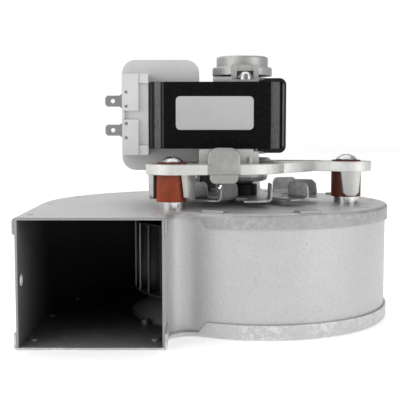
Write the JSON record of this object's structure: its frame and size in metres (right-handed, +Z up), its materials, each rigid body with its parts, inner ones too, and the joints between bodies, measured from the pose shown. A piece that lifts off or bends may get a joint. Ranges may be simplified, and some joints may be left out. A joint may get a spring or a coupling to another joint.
{
  "type": "flue gas blower",
  "caption": "Gas boiler flue blower: sheet-metal scroll housing, forward-curved wheel, shaded-pole motor on a rubber-mounted cast bracket, cooling fan on the shaft.",
  "frame": {"origin": "on the shaft axis, in the plane of the housing's underside", "axes": "+Z up along the shaft to the motor; the outlet faces -Y on the -X side; +X away from it"},
  "size_m": [0.1705, 0.1526, 0.1271],
  "materials": {
    "housing_sheet": "matt aluminised sheet with a fine speckle",
    "wheel_sheet": "matt sheet",
    "zinc_steel": "zinc plated",
    "plated_steel": "bright zinc plated",
    "bearing_steel": "ground",
    "bearing_balls": "polished",
    "bearing_cage": "pressed sheet",
    "dark_rubber": "dark brown, matt",
    "orange_rubber": "orange brown, matt",
    "cast_aluminium": "sandy die-cast skin",
    "cast_cap": "die-cast skin",
    "stack_black": "black dipped laminations",
    "copper": "enamelled copper",
    "white_plastic": "white moulded thermoset",
    "tinned_brass": "tin plated",
    "cover_black": "black sheet, satin",
    "label_grey": "plain grey label, no text",
    "clip_steel": "black coated strip",
    "dark_steel": "black oxide",
    "shaft_steel": "ground",
    "rotor_iron": "laminated iron",
    "rotor_aluminium": "cast",
    "fan_sheet": "galvanised sheet",
    "hub_black": "black moulding"
  },
  "bodies": {
    "stator": {"housing_top_plate": "housing_sheet", "housing_bottom_plate": "housing_sheet", "scroll_wall": "housing_sheet", "clinch_nuts": "zinc_steel", "lower_bearing_outer_ring": "bearing_steel", "upper_bearing_outer_ring": "bearing_steel", "bush_right": "dark_rubber", "bush_back": "dark_rubber", "bush_front_left": "orange_rubber", "bush_sleeves": "plated_steel", "leg_screws": "plated_steel", "motor_bracket": "cast_aluminium", "stator_stack": "stack_black", "shading_rings": "copper", "coil_core": "stack_black", "coil_bobbin": "white_plastic", "coil_cover": "white_plastic", "coil_winding": "copper", "terminal_block": "white_plastic", "spade_terminal_upper": "tinned_brass", "spade_terminal_lower": "tinned_brass", "front_cover": "cover_black", "label_plate": "label_grey", "stack_end_clip": "clip_steel", "upper_bearing_bracket": "cast_cap", "through_bolts": "plated_steel"},
    "rotor": {"wheel_back_plate": "wheel_sheet", "wheel_front_ring": "wheel_sheet", "wheel_blades": "wheel_sheet", "wheel_hub": "zinc_steel", "hub_set_screw": "dark_steel", "wheel_rivets": "zinc_steel", "shaft": "shaft_steel", "lower_bearing_inner_ring": "bearing_steel", "upper_bearing_inner_ring": "bearing_steel", "rotor_core": "rotor_iron", "rotor_end_rings": "rotor_aluminium", "rotor_spacers": "zinc_steel", "cooling_fan": "fan_sheet", "cooling_fan_hub": "hub_black"},
    "lower_cage": {"lower_bearing_balls": "bearing_balls", "lower_bearing_cage": "bearing_cage"},
    "upper_cage": {"upper_bearing_balls": "bearing_balls", "upper_bearing_cage": "bearing_cage"}
  },
  "joints": [
    {"name": "rotor_spin", "type": "hinge", "parent": "stator", "child": "rotor", "pos_m": [0, 0, 0.0712], "axis": [0, 0, 1], "continuous": true},
    {"name": "lower_cage_spin", "type": "hinge", "parent": "stator", "child": "lower_cage", "pos_m": [0, 0, 0.0712], "axis": [0, 0, 1], "continuous": true},
    {"name": "upper_cage_spin", "type": "hinge", "parent": "stator", "child": "upper_cage", "pos_m": [0, 0, 0.1214], "axis": [0, 0, 1], "continuous": true}
  ],
  "couplings": [
    {"joint": "lower_cage_spin", "follows": "rotor_spin", "ratio": 0.36},
    {"joint": "upper_cage_spin", "follows": "rotor_spin", "ratio": 0.36}
  ]
}
